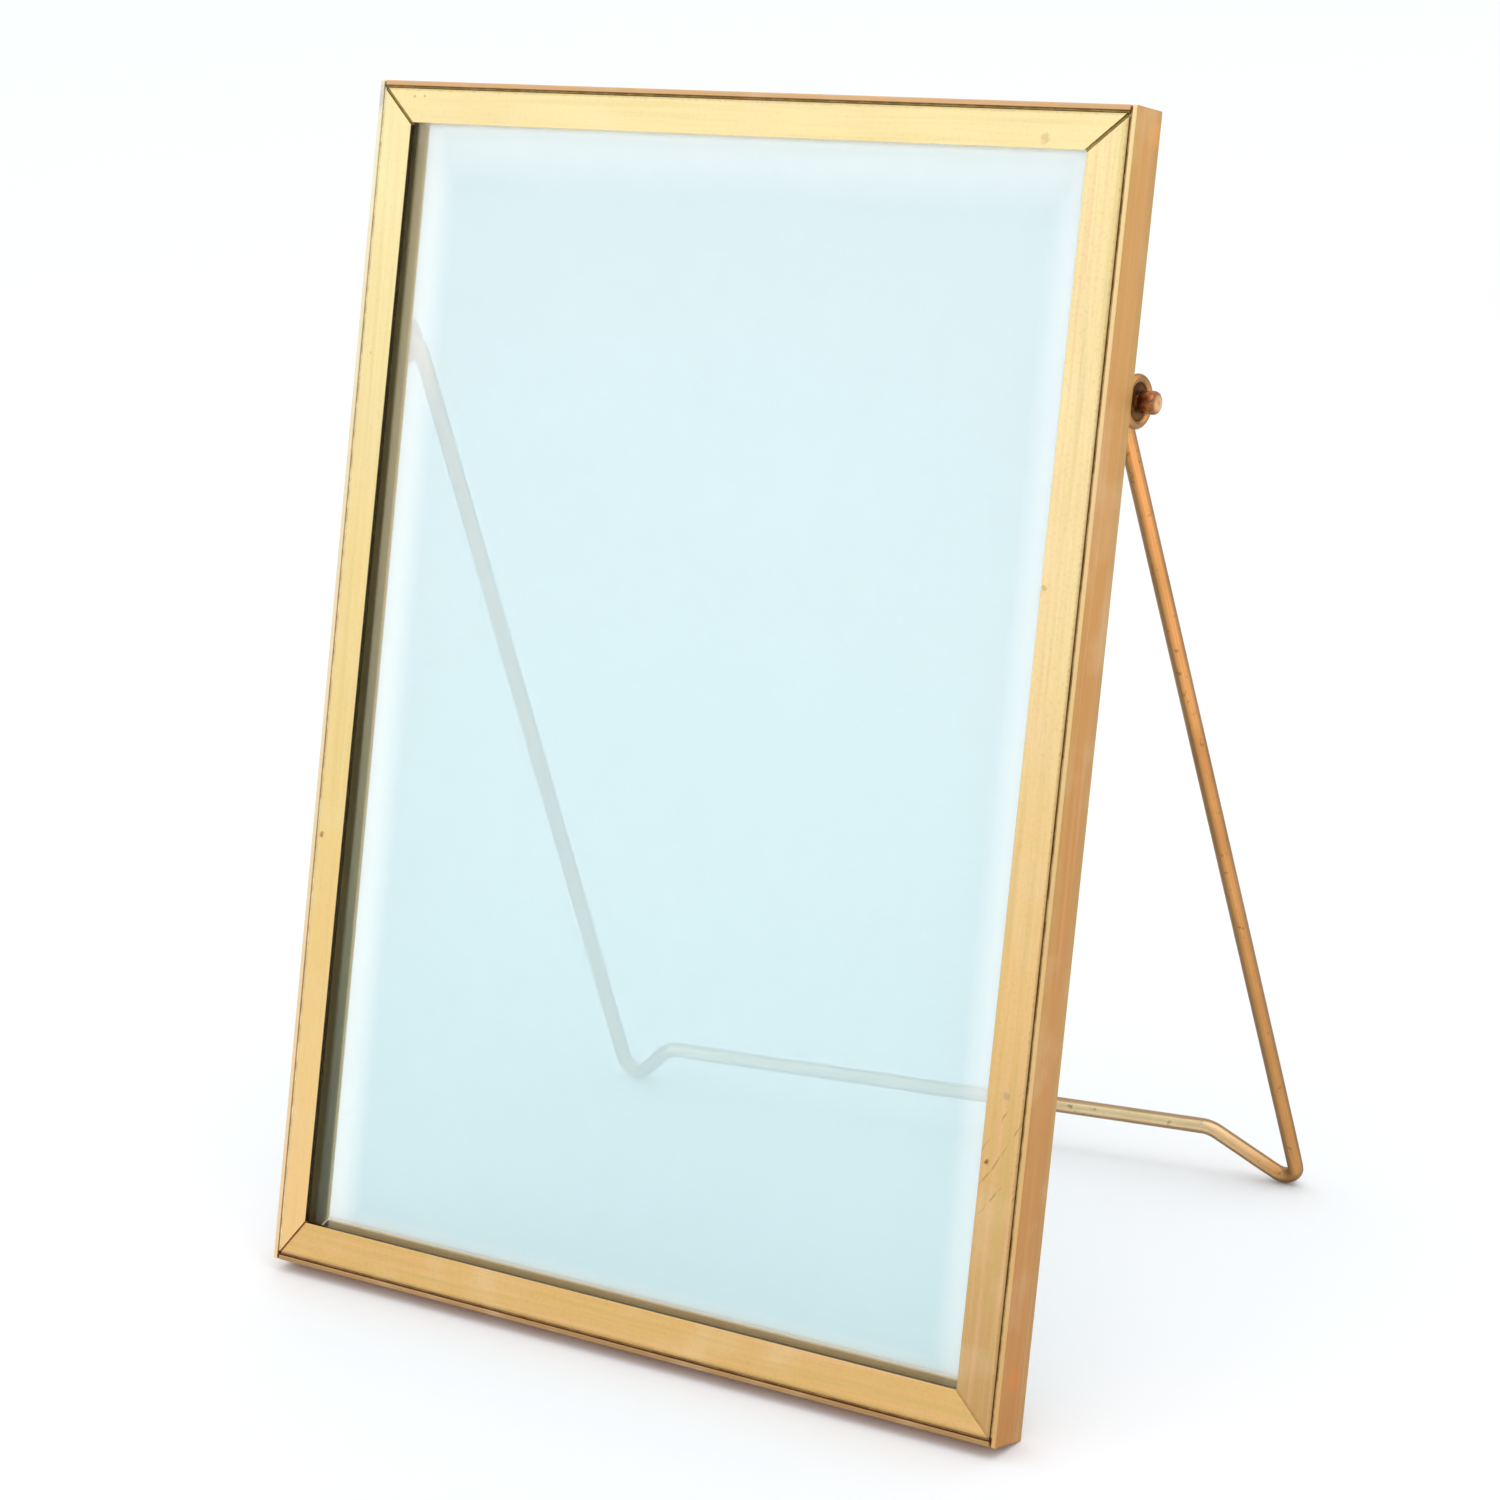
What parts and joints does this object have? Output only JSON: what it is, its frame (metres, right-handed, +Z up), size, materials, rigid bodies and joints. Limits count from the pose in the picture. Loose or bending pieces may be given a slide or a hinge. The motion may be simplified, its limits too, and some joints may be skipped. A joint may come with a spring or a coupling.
{
  "type": "floating frame",
  "caption": "Tabletop double-glass floating frame: mitred brass casing round clear panes, leaning back on a bent brass wire stand hinged in ring eyes.",
  "frame": {"origin": "on the ground under the middle of the object's box, midway between the frame's bottom edge and the stand's feet", "axes": "+X to the right seen from the front, +Y from the front to the stand's feet, +Z up"},
  "size_m": [0.1354, 0.1, 0.1768],
  "materials": {
    "brass_face": "satin brass with a pale golden face, lightly scratched",
    "brass_wall": "satin brass, warmer and browner than the face",
    "brass_back": "dull brass",
    "brass_wire": "drawn brass wire, satin",
    "solder": "dull grey soft solder",
    "clear_glass": "clear float glass"
  },
  "bodies": {
    "casing": {"left_wall": "brass_wall", "right_wall": "brass_wall", "bottom_wall": "brass_wall", "bottom_front_strip": "brass_face", "left_front_strip": "brass_face", "right_front_strip": "brass_face", "bottom_back_strip": "brass_back", "left_back_strip": "brass_back", "right_back_strip": "brass_back", "left_corner_solder": "solder", "right_corner_solder": "solder", "left_eye": "brass_wire", "right_eye": "brass_wire"},
    "cap": {"cap_wall": "brass_wall", "cap_front_strip": "brass_face", "cap_back_strip": "brass_back"},
    "front_pane": {"front_glass": "clear_glass"},
    "back_pane": {"back_glass": "clear_glass"},
    "stand": {"wire_stand": "brass_wire"}
  },
  "joints": [
    {"name": "stand_fold", "type": "hinge", "parent": "casing", "child": "stand", "pos_m": [0, 0.00133, 0.13655], "axis": [1, 0, 0], "range_deg": [-32, 0]},
    {"name": "cap_lift", "type": "slide", "parent": "casing", "child": "cap", "axis": [0, 0.284, 0.9588], "range_m": [0, 0.21]},
    {"name": "front_pane_lift", "type": "slide", "parent": "casing", "child": "front_pane", "axis": [0, 0.284, 0.9588], "range_m": [0, 0.185]},
    {"name": "back_pane_lift", "type": "slide", "parent": "casing", "child": "back_pane", "axis": [0, 0.284, 0.9588], "range_m": [0, 0.185]}
  ],
  "couplings": [
    {"joint": "front_pane_lift", "follows": "cap_lift", "ratio": 0.88},
    {"joint": "back_pane_lift", "follows": "cap_lift", "ratio": 0.88}
  ]
}
